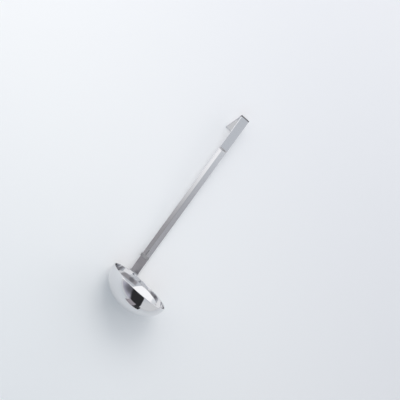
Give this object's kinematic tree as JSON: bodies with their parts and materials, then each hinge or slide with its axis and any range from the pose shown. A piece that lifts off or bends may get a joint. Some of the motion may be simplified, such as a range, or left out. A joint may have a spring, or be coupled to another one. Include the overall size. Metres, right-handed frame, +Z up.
{
  "type": "syrup ladle",
  "caption": "Small stainless steel ladle: a round bowl whose rim runs into a long, grooved strap handle that is folded back at the top into a flat hook.",
  "frame": {"origin": "bottom centre of the bounding box, on the surface that the ladle lies on", "axes": "+X runs along the lying ladle from the bowl to the hook, +Z is up, and the ladle is the same on both sides of the plane Y = 0. The bowl's mouth faces +X and 21 degrees up."},
  "size_m": [0.2172, 0.062, 0.0594],
  "materials": {
    "polished_steel": "bare stainless steel, mirror-polished bowl and softly polished handle"
  },
  "bodies": {
    "root": {"ladle": "polished_steel"}
  },
  "joints": []
}
